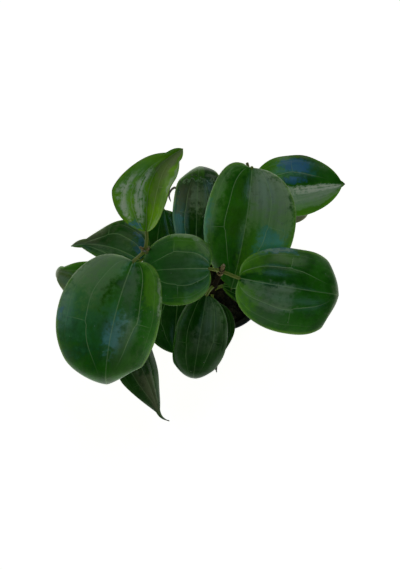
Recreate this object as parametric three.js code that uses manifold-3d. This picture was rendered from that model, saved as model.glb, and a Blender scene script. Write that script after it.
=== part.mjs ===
import * as THREE from 'three';
import Module from 'manifold-3d';

// A pot grown climbing plant with thick oval leaves.
// Millimetres, +Z up, the middle of the pot's underside at the origin.
// +X is to the right and -Y to the front of the leaves as they are seen from above.

// Pot
const potHeight = 90;
const potRimRadius = 50;
const potBaseRadius = 36;
const potWall = 1.6;
const rimBandHeight = 12;
const rimStep = 4;
const footHeight = 2;
const drainHoleRadius = 4;
const drainHoleCount = 6;

// Soil
const soilTop = 74;
const soilGap = 0.3;
const soilBump = 1.6;

// Stems and leaf stalks
const stemRadius = 2.4;
const nodeRadius = 3.7;
const nodeLength = 5;
const stalkRadius = 1.6;
const fitGap = 0.32;

// Leaves
const leafThickness = 1.4;
const leafStations = 12;
const leafColumns = 6;
const stalkStations = 4;

// How finely the pieces are faceted
const potSegments = 40;
const stemSides = 8;
const shortestEdge = 0.08;

const wasm = await Module();
wasm.setup();

const group = new THREE.Group();
group.name = 'potted_climber';

const looks = {
  pot: { color: 0x1d1e20, roughness: 0.5 },
  soil: { color: 0x3a2c25, roughness: 1 },
  stem: { color: 0x7d8455, roughness: 0.6 },
  leaf: { color: 0x356b2c, roughness: 0.4 },
  youngLeaf: { color: 0x6f9a34, roughness: 0.4 },
};

function addPiece(name, geometry, look) {
  const mesh = new THREE.Mesh(geometry, new THREE.MeshStandardMaterial(looks[look]));
  mesh.name = name;
  group.add(mesh);
}

function toRadians(degrees) {
  return degrees * Math.PI / 180;
}

function clamp01(x) {
  return Math.min(1, Math.max(0, x));
}

function smooth(x) {
  const c = clamp01(x);
  return c * c * (3 - 2 * c);
}

function lerp(a, b, t) {
  return a + (b - a) * t;
}

// Solids are kept as manifolds until they are finished.
function toSolid(positions, triangles) {
  const mesh = new wasm.Mesh({
    numProp: 3,
    vertProperties: new Float32Array(positions),
    triVerts: new Uint32Array(triangles),
  });
  return new wasm.Manifold(mesh);
}

// Joins the two ends of every edge shorter than shortestEdge, and drops what collapses.
function toGeometry(solid) {
  const mesh = solid.getMesh();
  const positions = mesh.vertProperties;
  const corners = mesh.triVerts;
  const target = Array.from({ length: positions.length / 3 }, (_, i) => i);
  const find = (i) => {
    while (target[i] !== i) {
      i = target[i];
    }
    return i;
  };
  const distance = (a, b) => Math.hypot(
    positions[3 * a] - positions[3 * b],
    positions[3 * a + 1] - positions[3 * b + 1],
    positions[3 * a + 2] - positions[3 * b + 2]);
  for (let i = 0; i < corners.length; i++) {
    const a = find(corners[i]);
    const b = find(corners[i % 3 === 2 ? i - 2 : i + 1]);
    if (a !== b && distance(a, b) < shortestEdge) {
      target[Math.max(a, b)] = Math.min(a, b);
    }
  }
  const kept = [];
  for (let i = 0; i < corners.length; i += 3) {
    const [a, b, c] = [find(corners[i]), find(corners[i + 1]), find(corners[i + 2])];
    if (a !== b && b !== c && c !== a) {
      kept.push(a, b, c);
    }
  }
  const geometry = new THREE.BufferGeometry();
  geometry.setAttribute('position', new THREE.BufferAttribute(new Float32Array(positions), 3));
  geometry.setIndex(new THREE.BufferAttribute(new Uint32Array(kept), 1));
  geometry.computeVertexNormals();
  return geometry;
}

// A closed solid through rings that all have the same number of points.
// Each ring holds an upper row from left to right and a lower row under it.
function sweepRows(rings) {
  const columns = rings[0].upper.length;
  const around = columns * 2;
  const positions = [];
  for (const ring of rings) {
    const loop = [...ring.upper, ...ring.lower.slice().reverse()];
    for (const p of loop) {
      positions.push(p.x, p.y, p.z);
    }
  }
  const triangles = [];
  const lowerIndex = (j) => around - 1 - j;
  const middle = (columns - 1) / 2;
  for (let i = 0; i + 1 < rings.length; i++) {
    const a = i * around;
    const b = a + around;
    for (let j = 0; j + 1 < columns; j++) {
      // the same diagonal is used on the upper and the lower face
      const k = j + 1;
      const quads = [
        [a + j, a + k, b + k, b + j],
        [a + lowerIndex(k), a + lowerIndex(j), b + lowerIndex(j), b + lowerIndex(k)],
      ];
      const leftHalf = j < middle;
      pushQuad(triangles, quads[0], leftHalf);
      pushQuad(triangles, quads[1], !leftHalf);
    }
    pushQuad(triangles, [a + columns - 1, a + columns, b + columns, b + columns - 1], true);
    pushQuad(triangles, [a + around - 1, a, b, b + around - 1], true);
  }
  const last = (rings.length - 1) * around;
  for (let j = 0; j + 1 < columns; j++) {
    const k = j + 1;
    pushQuad(triangles, [lowerIndex(j), lowerIndex(k), k, j], true);
    pushQuad(triangles, [last + j, last + k, last + lowerIndex(k), last + lowerIndex(j)], true);
  }
  return toSolid(positions, triangles);
}

function pushQuad(triangles, [p, q, r, s], firstDiagonal) {
  if (firstDiagonal) {
    triangles.push(p, q, r, p, r, s);
  } else {
    triangles.push(p, q, s, q, r, s);
  }
}

// A solid of revolution about Z from a closed outline of [radius, height] points.
function revolve(outline, segments) {
  const positions = [];
  const rows = outline.map(([radius, height]) => {
    const row = [];
    const count = radius === 0 ? 1 : segments;
    for (let i = 0; i < count; i++) {
      const angle = 2 * Math.PI * i / segments;
      row.push(positions.length / 3);
      positions.push(radius * Math.cos(angle), radius * Math.sin(angle), height);
    }
    return row;
  });
  const triangles = [];
  for (let k = 0; k < rows.length; k++) {
    const a = rows[k];
    const b = rows[(k + 1) % rows.length];
    for (let i = 0; i < segments; i++) {
      const j = (i + 1) % segments;
      if (a.length === 1 && b.length === 1) {
        continue;
      }
      if (a.length === 1) {
        triangles.push(a[0], b[j], b[i]);
      } else if (b.length === 1) {
        triangles.push(a[i], a[j], b[0]);
      } else {
        triangles.push(a[i], a[j], b[j], a[i], b[j], b[i]);
      }
    }
  }
  return toSolid(positions, triangles);
}

// Pot: a thin shell with a stepped band below the rim, open at the top.
// The underside stands on a ring and on a pad in the middle.
const bandBottom = potHeight - rimBandHeight;
const bandRadius = potRimRadius - 1.2;
const wallTopRadius = bandRadius - rimStep;
const pot = revolve([
  [0, 0],
  [12, 0],
  [13, footHeight],
  [potBaseRadius - 4, footHeight],
  [potBaseRadius - 3, 0],
  [potBaseRadius - 0.8, 0],
  [potBaseRadius, 1],
  [wallTopRadius, bandBottom - 1],
  [bandRadius - 0.6, bandBottom + 0.4],
  [bandRadius, potHeight - 3],
  [potRimRadius, potHeight - 2.4],
  [potRimRadius, potHeight - 0.6],
  [potRimRadius - 0.6, potHeight],
  [bandRadius - potWall, potHeight],
  [bandRadius - potWall - 0.6, bandBottom + 1.6],
  [wallTopRadius - potWall, bandBottom + 0.2],
  [potBaseRadius - potWall, footHeight + potWall + 1],
  [potBaseRadius - potWall - 1, footHeight + potWall],
  [0, footHeight + potWall],
], potSegments);
const drainHoles = [];
for (let i = 0; i < drainHoleCount; i++) {
  const angle = 2 * Math.PI * (i + 0.5) / drainHoleCount;
  const hole = wasm.Manifold.cylinder(8, drainHoleRadius, drainHoleRadius, 12);
  drainHoles.push(hole.translate([22 * Math.cos(angle), 22 * Math.sin(angle), -2]));
}
addPiece('pot', toGeometry(pot.subtract(wasm.Manifold.union(drainHoles))), 'pot');

// Stems: each follows a line of points, thicker at the nodes where leaves spring.
const stems = {
  stem_middle: {
    line: [[-11, -11, 58], [-11, -11, 72], [-9, -9, 104], [-8, -10, 142], [-2, -1, 172], [-2, -1, 177]],
    nodes: [[-9, -9, 104], [-8, -10, 142], [-2, -1, 173]],
  },
  stem_left: {
    line: [
      [-30, 2, 58], [-30, 2, 72], [-44, -1, 106], [-59, 9, 134], [-69, 19, 154], [-72, 22, 168],
      [-73, 14, 190],
    ],
    nodes: [[-44, -1, 106], [-69, 19, 154], [-73, 15, 186]],
  },
  stem_trailing: {
    line: [
      [-26, -20, 58], [-26, -20, 72], [-34, -22, 88], [-47, -26, 97], [-66, -31, 96],
      [-82, -36, 98], [-91, -39, 110], [-94, -40, 134],
    ],
    nodes: [[-66, -31, 96], [-93, -40, 130]],
  },
  stem_back: {
    line: [
      [4, 22, 58], [4, 22, 72], [14, 48, 98], [20, 74, 116], [24, 86, 132], [28, 100, 154],
      [28, 101, 158],
    ],
    nodes: [[20, 74, 116], [24, 86, 132], [28, 100, 154]],
  },
  stem_short: {
    line: [[-21, 8, 58], [-21, 8, 72], [-24, 11, 96], [-26, 13, 116]],
    nodes: [[-26, 13, 114]],
  },
};

// Short stubs where flower stalks or old leaves have come off.
const stubs = {
  stem_middle: [[[-2, -1, 174], [-1, 3, 180], 1.5], [[-8, -10, 142], [-3, -14, 148], 1.5]],
  stem_left: [[[-73, 15, 187], [-77, 17, 193], 1.3], [[-73, 15, 187], [-69, 16, 192], 1.3]],
  stem_back: [[[28, 101, 156], [25, 112, 160], 1.5]],
};

function smoothLine(points) {
  return new THREE.CatmullRomCurve3(points.map((p) => new THREE.Vector3(...p)), false, 'centripetal');
}

function stemSolid({ line, nodes }, extra) {
  const curve = smoothLine(line);
  const steps = Math.round(curve.getLength() / 6.5);
  const centres = nodes.map((p) => new THREE.Vector3(...p));
  const rings = [];
  for (let i = 0; i <= steps; i++) {
    const centre = curve.getPointAt(i / steps);
    const along = curve.getTangentAt(i / steps);
    if (i === 0 && extra > 0) {
      centre.addScaledVector(along, -extra);
    }
    if (i === steps && extra > 0) {
      centre.addScaledVector(along, extra);
    }
    const nearest = Math.min(...centres.map((c) => c.distanceTo(centre)));
    const swell = 1 - smooth(nearest / nodeLength);
    const taper = i === steps ? 0.65 : 1;
    rings.push(roundRing(centre, along, taper * lerp(stemRadius, nodeRadius, swell) + extra));
  }
  return sweepRows(rings);
}

// A ring of stemSides points about a centre, as an upper and a lower row.
function roundRing(centre, along, radius, side) {
  const across = side ? side.clone() : new THREE.Vector3(1, 0, 0);
  across.addScaledVector(along, -across.dot(along)).normalize();
  const over = new THREE.Vector3().crossVectors(across, along).normalize();
  const columns = side ? leafColumns + 1 : stemSides / 2;
  const upper = [];
  const lower = [];
  for (let j = 0; j < columns; j++) {
    const angle = Math.PI * (j + 0.5) / columns;
    const reach = -radius * Math.cos(angle);
    const rise = radius * Math.sin(angle);
    upper.push(centre.clone().addScaledVector(across, reach).addScaledVector(over, rise));
    lower.push(centre.clone().addScaledVector(across, reach).addScaledVector(over, -rise));
  }
  return { upper, lower };
}

function rod(points, radii) {
  const curve = smoothLine(points);
  const steps = Math.max(2, Math.round(curve.getLength() / 7));
  const rings = [];
  for (let i = 0; i <= steps; i++) {
    const t = i / steps;
    rings.push(roundRing(curve.getPointAt(t), curve.getTangentAt(t), lerp(radii[0], radii[1], t)));
  }
  return sweepRows(rings);
}

// A leafless shoot tip that reaches out from the short stem under the leaves.
const shootTip = {
  line: [
    [-25, 12, 98], [-32, 40, 96], [-38, 70, 99], [-44, 100, 110], [-50, 101, 117], [-55, 92, 120],
    [-53, 85, 117],
  ],
  radii: [1.5, 0.9],
};

const stemSolids = {};
const stemRoom = {};
for (const [name, shape] of Object.entries(stems)) {
  let solid = stemSolid(shape, 0);
  let room = stemSolid(shape, fitGap);
  for (const [from, to, radius] of stubs[name] ?? []) {
    solid = solid.add(rod([from, to], [radius, radius * 0.9]));
    room = room.add(rod([from, to], [radius + fitGap, radius * 0.9 + fitGap]));
  }
  if (name === 'stem_short') {
    solid = solid.add(rod(shootTip.line, shootTip.radii));
    room = room.add(rod(shootTip.line, shootTip.radii.map((r) => r + fitGap)));
  }
  stemSolids[name] = solid;
  stemRoom[name] = room;
}

// Leaves. Angles are in degrees.
// heading: the way the leaf points, anticlockwise from +X seen from above
// swerve: how far the heading has turned at the tip
// rise, droop: the slope at the base and how far it has fallen at the tip
// roll: right side down, seen from above looking to the tip
// widest: where the widest part lies, from 0 at the base to 1 at the tip
// baseFull, tipFull, tipSharp: how full the outline is on both sides of that part
// dome, fold: how far the two halves curve down, and how far they are folded up
// hook, hookTurn, hookRoll: extra bend of the tip down, sideways and rolled, from hookFrom on
// lobe, lobeSide: how far the base of the blade reaches back beside the stalk
// uneven, unevenTip: how much wider the right side is, all along and more so toward the tip
// nib, nibWidth: the small point that the tip ends in
const leafShape = {
  swerve: 0, rise: 10, droop: 30, roll: 0, widest: 0.42, baseFull: 2.2, tipFull: 2.2, tipSharp: 0.62,
  dome: 25, fold: 0, hook: 0, hookTurn: 0, hookRoll: 0, hookFrom: 0.8, lobe: 0, lobeSide: 0, uneven: 0,
  unevenTip: 0, nib: 4, nibWidth: 5, look: 'leaf',
};

const leaves = {
  leaf_big_front_left: {
    base: [-84, 1, 197], length: 124, width: 103, heading: 253.5, swerve: 9, rise: 6, droop: 32,
    roll: -14, widest: 0.43, tipFull: 1.95, dome: 38, hook: 60, hookFrom: 0.78, lobe: 9,
    uneven: 0.06, nib: 2, stem: 'stem_left', from: [-73, 15, 186], via: [-77, 9, 193],
  },
  leaf_young_back_left: {
    base: [-71, 31, 196], length: 88, width: 62, heading: 87, swerve: -6, rise: 28, droop: 14,
    uneven: -0.26, unevenTip: 0.78, roll: -22, baseFull: 1.6, tipFull: 1.5, tipSharp: 0.82,
    dome: 8, fold: 34, hook: 10, hookTurn: -68, hookRoll: 60, hookFrom: 0.38, nib: 2, look: 'youngLeaf',
    stem: 'stem_left', from: [-73, 15, 188], via: [-70, 22, 194],
  },
  leaf_far_left: {
    base: [-81, 11, 163], length: 75, width: 52, heading: 164, swerve: 8, rise: 8, droop: 34,
    widest: 0.38, tipFull: 1.5, tipSharp: 0.95, dome: 20, uneven: 0.36, nib: 9, nibWidth: 7,
    stem: 'stem_left', from: [-69, 19, 154], via: [-75, 14, 160],
  },
  leaf_low_left: {
    base: [-98, -24, 136], length: 87, width: 52, heading: 155, swerve: 8, rise: 4, droop: 28,
    tipFull: 1.8, tipSharp: 0.66, dome: 22, nib: 2, hook: 70, hookFrom: 0.85,
    stem: 'stem_trailing', from: [-93, -40, 131], via: [-94, -32, 135],
  },
  leaf_hanging_front: {
    base: [-104, -52, 124], length: 120, width: 50, heading: 300, swerve: -8, rise: -12, droop: 30,
    roll: -30, tipFull: 1.3, tipSharp: 0.9, dome: 40, nib: 17, nibWidth: 5,
    hookTurn: 50, hookFrom: 0.86, stem: 'stem_trailing', from: [-93, -40, 129], via: [-100, -47, 129],
  },
  leaf_round_middle: {
    base: [-14.5, -1, 178], length: 72, width: 71, heading: 181, rise: 2, droop: 22,
    widest: 0.4, tipSharp: 0.66, dome: 24, uneven: 0.1, unevenTip: -0.22, nib: 3, lobe: 6,
    stem: 'stem_middle', from: [-2, -1, 174], via: [-8, -1, 177],
  },
  leaf_right: {
    base: [16, -9, 178], length: 105, width: 88, heading: 349, swerve: -2, rise: 12, droop: 34,
    widest: 0.5, tipFull: 2.5, dome: 34, hook: 60, hookFrom: 0.82, nib: 3, lobe: 6,
    stem: 'stem_middle', from: [-2, -1, 173], via: [6, -5, 174.5],
  },
  leaf_front: {
    base: [-15.5, -20.5, 150], length: 101, width: 60, heading: 263, swerve: -7, rise: 0, droop: 46,
    widest: 0.5, tipFull: 2.4, dome: 46, nib: 2, hook: 60, hookFrom: 0.76,
    stem: 'stem_middle', from: [-8, -10, 143], via: [-13, -15, 150],
  },
  leaf_low_front: {
    base: [-9, -19, 102], length: 77, width: 51, heading: 268, swerve: 12, rise: 6, droop: 20,
    dome: 24, nib: 8, stem: 'stem_middle', from: [-9, -9, 104], via: [-9, -14, 103],
  },
  leaf_small_right: {
    base: [1, -5, 112], length: 68, width: 34, heading: 350, rise: 10, droop: 22, baseFull: 1.4,
    dome: 20, stem: 'stem_middle', from: [-9, -9, 104], via: [-4, -6, 110],
  },
  leaf_low_front_left: {
    base: [-44, -12, 111], length: 68, width: 67, heading: 262, swerve: 10, rise: 6, droop: 26,
    dome: 22, stem: 'stem_left', from: [-44, -1, 106], via: [-44, -6, 110],
  },
  leaf_low_back_left: {
    base: [-46, 9, 109], length: 74, width: 55, heading: 100, rise: 18, droop: 26, dome: 20,
    stem: 'stem_left', from: [-44, -1, 106], via: [-45, 4, 109],
  },
  leaf_back_middle: {
    base: [-26, 22, 124], length: 106, width: 58, heading: 90, swerve: -4, rise: 22, droop: 30,
    roll: -12, widest: 0.5, dome: 30, nib: 2, hook: 50, hookFrom: 0.75,
    stem: 'stem_short', from: [-26, 13, 114], via: [-26, 17, 121],
  },
  leaf_big_back: {
    base: [29, 102.5, 170], length: 126, width: 94, heading: 266, swerve: -12, rise: 6, droop: 44,
    roll: 8, widest: 0.45, dome: 36, fold: 6, uneven: -0.05, nib: 3, lobe: 8, lobeSide: 0.9,
    stem: 'stem_back', from: [28, 100, 155], via: [29, 107, 164],
  },
  leaf_back_right: {
    base: [33, 88, 134], length: 96, width: 69, heading: 8, swerve: -3, rise: 8, droop: 16,
    dome: 16, fold: 8, tipSharp: 0.8, stem: 'stem_back', from: [24, 86, 132], via: [28, 87, 133],
  },
  leaf_low_back_right: {
    base: [30, 77, 117], length: 70, width: 34, heading: 357, rise: 6, droop: 24, dome: 24,
    tipFull: 2.6, nib: 2, hook: 50, stem: 'stem_back', from: [20, 74, 116], via: [25, 75, 117],
  },
};

// Half the width of the blade at u, from 0 at the base to 1 at the tip.
function halfWidth(leaf, u) {
  const tipStart = 1 - leaf.nib / leaf.length;
  const x = clamp01(u / tipStart);
  const towardBase = clamp01((leaf.widest - x) / leaf.widest);
  const towardTip = clamp01((x - leaf.widest) / (1 - leaf.widest));
  const full = x < leaf.widest
    ? (1 - towardBase ** leaf.baseFull) ** (1 / leaf.baseFull)
    : (1 - towardTip ** leaf.tipFull) ** leaf.tipSharp;
  const nibStart = tipStart - 1.6 * leaf.nib / leaf.length;
  const k = clamp01((u - nibStart) / (1 - nibStart));
  const nib = u > nibStart ? 0.5 * leaf.nibWidth * (1 - k ** 1.5) : 0;
  return { half: Math.max(0.5 * leaf.width * full, nib), full };
}

// The line of the midrib: points and directions at even steps of the length.
function midrib(leaf, steps) {
  const frames = [];
  const point = new THREE.Vector3(...leaf.base);
  let before = null;
  for (let i = 0; i <= steps; i++) {
    const u = i / steps;
    const k = smooth((u - leaf.hookFrom) / (1 - leaf.hookFrom));
    const heading = toRadians(leaf.heading + leaf.swerve * u + leaf.hookTurn * k);
    const pitch = toRadians(leaf.rise - leaf.droop * u - leaf.hook * k);
    const roll = toRadians(leaf.roll + leaf.hookRoll * k);
    const along = new THREE.Vector3(
      Math.cos(pitch) * Math.cos(heading), Math.cos(pitch) * Math.sin(heading), Math.sin(pitch));
    const side = new THREE.Vector3(Math.sin(heading), -Math.cos(heading), 0);
    const up = new THREE.Vector3().crossVectors(side, along);
    const right = side.clone().multiplyScalar(Math.cos(roll)).addScaledVector(up, -Math.sin(roll));
    const over = up.clone().multiplyScalar(Math.cos(roll)).addScaledVector(side, Math.sin(roll));
    if (before) {
      point.addScaledVector(before.clone().add(along), 0.5 * leaf.length / steps);
    }
    before = along;
    frames.push({ point: point.clone(), along, right, over });
  }
  return frames;
}

function bladeRing(leaf, frame, u) {
  const { half, full } = halfWidth(leaf, u);
  const upper = [];
  const lower = [];
  const baseSwell = Math.max(0, 1 - u / 0.05);
  const thick = 0.5 * lerp(leafThickness, 2 * stalkRadius, baseSwell);
  for (let j = 0; j <= leafColumns; j++) {
    const s = -1 + 2 * j / leafColumns;
    const q = Math.abs(s);
    const sign = Math.sign(s);
    const lopsided = leaf.uneven + leaf.unevenTip * u;
    const width = Math.max(half, lerp(0.6, stalkRadius, baseSwell)) * (1 + lopsided * sign);
    const dome = toRadians(leaf.dome);
    const fold = toRadians(leaf.fold);
    const across = width / dome * (Math.sin(dome * q - fold) + Math.sin(fold));
    const lift = width / dome * (Math.cos(dome * q - fold) - Math.cos(fold));
    const back = -2.2 * leaf.lobe * (1 + leaf.lobeSide * sign) * q * q * full * (1 - u) ** 6;
    const p = frame.point.clone()
      .addScaledVector(frame.right, sign * across)
      .addScaledVector(frame.over, lift)
      .addScaledVector(frame.along, back);
    upper.push(p.clone().addScaledVector(frame.over, thick));
    lower.push(p.clone().addScaledVector(frame.over, -thick));
  }
  return { upper, lower };
}

function leafSolid(settings) {
  const leaf = { ...leafShape, ...settings };
  const steps = 80;
  const frames = midrib(leaf, steps);
  const rings = [];
  const start = new THREE.Vector3(...leaf.from);
  const bend = new THREE.Vector3(...leaf.via);
  const stalk = new THREE.QuadraticBezierCurve3(start, bend, frames[0].point);
  for (let i = 0; i < stalkStations; i++) {
    const t = i / stalkStations;
    rings.push(roundRing(stalk.getPoint(t), stalk.getTangent(t), stalkRadius, frames[0].right));
  }
  for (let i = 0; i <= leafStations; i++) {
    const u = (1 - Math.cos(Math.PI * i / leafStations)) / 2;
    const at = Math.min(steps - 1, Math.floor(u * steps));
    const part = u * steps - at;
    const mix = (key) => frames[at][key].clone().lerp(frames[at + 1][key], part);
    const frame = { point: mix('point'), along: mix('along'), right: mix('right'), over: mix('over') };
    rings.push(bladeRing(leaf, frame, u));
  }
  return sweepRows(rings);
}

function largestPart(solid) {
  const parts = solid.decompose();
  return parts.reduce((best, part) => (part.volume() > best.volume() ? part : best));
}

for (const [name, settings] of Object.entries(leaves)) {
  const leaf = leafSolid(settings).subtract(stemRoom[settings.stem]);
  addPiece(name, toGeometry(largestPart(leaf).simplify(0.04)), settings.look ?? 'leaf');
}

for (const [name, solid] of Object.entries(stemSolids)) {
  addPiece(name, toGeometry(solid.simplify(0.04)), 'stem');
}

// Soil: fills the pot up to a lumpy top, with a hole where each stem stands.
const soilRings = 7;
const soilBottom = footHeight + potWall + soilGap;
const soilShare = (soilTop - footHeight) / (bandBottom - footHeight);
const soilTopRadius = lerp(potBaseRadius, wallTopRadius, soilShare) - potWall - soilGap;
const soilOutline = [[0, soilBottom], [potBaseRadius - potWall - 1.8, soilBottom]];
for (let i = 0; i <= soilRings; i++) {
  soilOutline.push([soilTopRadius * (1 - i / soilRings), soilTop]);
}
const plainSoil = revolve(soilOutline, 32);
const bumpySoil = plainSoil.warp((v) => {
  const radius = Math.hypot(v[0], v[1]);
  if (v[2] > soilTop - 1 && radius < soilTopRadius - 1) {
    const fade = 1 - (radius / soilTopRadius) ** 4;
    v[2] += soilBump * fade * Math.sin(v[0] * 0.31 + 1) * Math.cos(v[1] * 0.27 + 2);
  }
});
const stemHoles = wasm.Manifold.union(Object.values(stemRoom));
addPiece('soil', toGeometry(largestPart(bumpySoil.subtract(stemHoles)).simplify(0.04)), 'soil');

export default group;
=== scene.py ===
import math
import random
from functools import partial

import bmesh
import bpy
import numpy as np
from mathutils import Matrix, Vector, noise


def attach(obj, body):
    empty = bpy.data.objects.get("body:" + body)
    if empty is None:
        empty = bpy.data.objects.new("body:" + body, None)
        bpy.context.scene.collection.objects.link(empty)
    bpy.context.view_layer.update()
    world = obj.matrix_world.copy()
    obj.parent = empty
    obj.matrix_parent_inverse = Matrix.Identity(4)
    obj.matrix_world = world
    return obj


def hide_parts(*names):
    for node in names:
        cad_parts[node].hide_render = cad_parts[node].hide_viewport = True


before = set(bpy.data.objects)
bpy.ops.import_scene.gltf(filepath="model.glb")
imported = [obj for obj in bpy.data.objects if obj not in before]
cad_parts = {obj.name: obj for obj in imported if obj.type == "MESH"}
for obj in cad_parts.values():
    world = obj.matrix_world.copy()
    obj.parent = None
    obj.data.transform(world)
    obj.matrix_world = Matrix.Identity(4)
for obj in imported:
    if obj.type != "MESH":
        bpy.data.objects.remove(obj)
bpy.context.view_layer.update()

# Sizes are in millimetres and angles in degrees, and become metres and radians where a mesh is made.
mm = 0.001

# camera and lights

cameraSettings = {
    "aim": (-22, 0, 90),
    "elevation": 80,
    "distance": 620,
    "lens": 36,  # on a 36 mm wide film the picture's long side sees 53 degrees
}

lightSettings = {
    # a soft box each: its place, its size, how bright its face is, its colour
    "front_window": {"place": (130, -560, 1500), "size": (520, 480), "bright": 0.8, "colour": "#a9d0ea"},
    "right_window": {"place": (760, -620, 1400), "size": (500, 500), "bright": 1.0, "colour": "#a5d3ea"},
    "back_window": {"place": (150, 520, 1500), "size": (400, 360), "bright": 1.6, "colour": "#9accf2"},
    "side_window": {"place": (-1250, 60, 720), "size": (450, 600), "bright": 0.9, "colour": "#a9cff0"},
    "far_window": {"place": (500, 1500, 1500), "size": (900, 700), "bright": 1.1, "colour": "#eef3ea"},
}
lightAim = (-20, 0, 130)

airSettings = {
    # brightness and colour at the horizon and overhead, and the heights between which they change
    "horizon": 0.39, "zenith": 0.03, "brightBand": (0.0, 0.75),
    "low": "#f6f3ec", "high": "#c9cdc6", "colourBand": (0.1, 0.8),
}


def srgb(text):
    values = [int(text[i:i + 2], 16) / 255 for i in (1, 3, 5)]
    linear = [v / 12.92 if v <= 0.04045 else ((v + 0.055) / 1.055) ** 2.4 for v in values]
    return (*linear, 1.0)


def makeCamera():
    s = cameraSettings
    elevation = math.radians(s["elevation"])
    back = Vector((0, -math.cos(elevation), math.sin(elevation)))
    aim = Vector(s["aim"]) * mm
    data = bpy.data.cameras.new("photo_camera")
    data.lens = s["lens"]
    data.sensor_width = 36
    data.clip_start = 0.01
    data.clip_end = 50
    camera = bpy.data.objects.new("photo_camera", data)
    camera.location = aim + back * s["distance"] * mm
    camera.rotation_euler = (-back).to_track_quat("-Z", "Y").to_euler()
    bpy.context.scene.collection.objects.link(camera)
    bpy.context.scene.camera = camera


def makeLights():
    for name, s in lightSettings.items():
        width, depth = s["size"]
        data = bpy.data.lights.new(name, "AREA")
        data.shape = "RECTANGLE"
        data.size = width * mm
        data.size_y = depth * mm
        data.energy = 4 * s["bright"] * width * depth * mm * mm  # the face is as bright at any size
        data.color = srgb(s["colour"])[:3]
        light = bpy.data.objects.new(name, data)
        light.location = Vector(s["place"]) * mm
        toward = Vector(lightAim) * mm - light.location
        light.rotation_euler = toward.to_track_quat("-Z", "Y").to_euler()
        bpy.context.scene.collection.objects.link(light)
    s = airSettings
    world = bpy.data.worlds.new("studio_air")
    world.use_nodes = True
    world.node_tree.nodes.clear()
    add = partial(addNode, world.node_tree)
    height = add("SeparateXYZ", [add("TexCoord")["Generated"]])[2]
    share = add("MapRange", (height, *s["colourBand"]), **smooth)[0]
    colour = add("MixRGB", (share, srgb(s["low"]), srgb(s["high"])))[0]
    bright = add("MapRange", (height, *s["brightBand"], s["horizon"], s["zenith"]), **smooth)[0]
    add("OutputWorld", [add("Background", (colour, bright))[0]])
    bpy.context.scene.world = world
    bpy.context.scene.view_settings.view_transform = "Standard"


# nodes

# settings that many nodes share, of Math nodes and of a Map Range that eases in and out
times = {"operation": "MULTIPLY"}
plus = {"operation": "ADD"}
timesPlus = {"operation": "MULTIPLY_ADD"}
most = {"operation": "MAXIMUM"}
smooth = {"interpolation_type": "SMOOTHSTEP"}


def addNode(tree, kind, values=(), **settings):
    # settings go to the node itself, and each value to a socket, as a link or as its constant
    node = tree.nodes.new("ShaderNode" + kind)
    for key, value in settings.items():
        setattr(node, key, value)
    for socket, value in values.items() if isinstance(values, dict) else enumerate(values):
        if isinstance(value, bpy.types.NodeSocket):
            tree.links.new(value, node.inputs[socket])
        else:
            node.inputs[socket].default_value = value
    return node.outputs


def newMaterial(name):
    material = bpy.data.materials.new(name)
    material.use_nodes = True
    material.node_tree.nodes.clear()
    return material, partial(addNode, material.node_tree)


def finishMaterial(add, colour, roughness, height=None, **extra):
    values = {"Base Color": colour, "Roughness": roughness}
    values.update({socket.replace("_", " "): value for socket, value in extra.items()})
    if height is not None:
        # heights are in mm
        values["Normal"] = add("Bump", {"Height": height, "Distance": mm})[0]
    add("OutputMaterial", [add("BsdfPrincipled", values)[0]])


# meshes

def meshObject(name, bm, materials, rounded=True):
    mesh = bpy.data.meshes.new(name)
    bm.to_mesh(mesh)
    bm.free()
    for material in materials:
        mesh.materials.append(material)
    mesh.polygons.foreach_set("use_smooth", [rounded] * len(mesh.polygons))
    piece = bpy.data.objects.new(name, mesh)
    bpy.context.scene.collection.objects.link(piece)
    return piece


def gridPlaces(bm, rows, columns):
    # a flat grid to bend into shape, and the row and column of each of its vertices
    bmesh.ops.create_grid(bm, x_segments=rows, y_segments=columns, size=1.0)
    bm.verts.ensure_lookup_table()
    return [(round((v.co.x + 1) / 2 * rows), round((v.co.y + 1) / 2 * columns)) for v in bm.verts]


def smooth01(x):
    x = np.clip(x, 0, 1)
    return x * x * (3 - 2 * x)


# Same curve as the solids follow: a centripetal Catmull-Rom line through the points, cut into even steps.
def smoothLine(points, step, samples=40):
    pts = [np.array(p, float) for p in points]
    pts = [2 * pts[0] - pts[1]] + pts + [2 * pts[-1] - pts[-2]]
    dense = []
    for i in range(1, len(pts) - 2):
        p0, p1, p2, p3 = pts[i - 1:i + 3]
        d0, d1, d2 = [max(np.linalg.norm(b - a) ** 0.5, 1e-4) for a, b in ((p0, p1), (p1, p2), (p2, p3))]
        t1 = ((p1 - p0) / d0 - (p2 - p0) / (d0 + d1) + (p2 - p1) / d1) * d1
        t2 = ((p2 - p1) / d1 - (p3 - p1) / (d1 + d2) + (p3 - p2) / d2) * d1
        for t in np.linspace(0, 1, samples, endpoint=False):
            c2 = -3 * p1 + 3 * p2 - 2 * t1 - t2
            c3 = 2 * p1 - 2 * p2 + t1 + t2
            dense.append(p1 + t1 * t + c2 * t * t + c3 * t ** 3)
    dense.append(pts[-2])
    dense = np.array(dense)
    lengths = np.concatenate([[0], np.cumsum(np.linalg.norm(np.diff(dense, axis=0), axis=1))])
    count = max(3, round(lengths[-1] / step))
    at = np.linspace(0, lengths[-1], count + 1)
    return np.stack([np.interp(at, lengths, dense[:, k]) for k in range(3)], -1)


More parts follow.
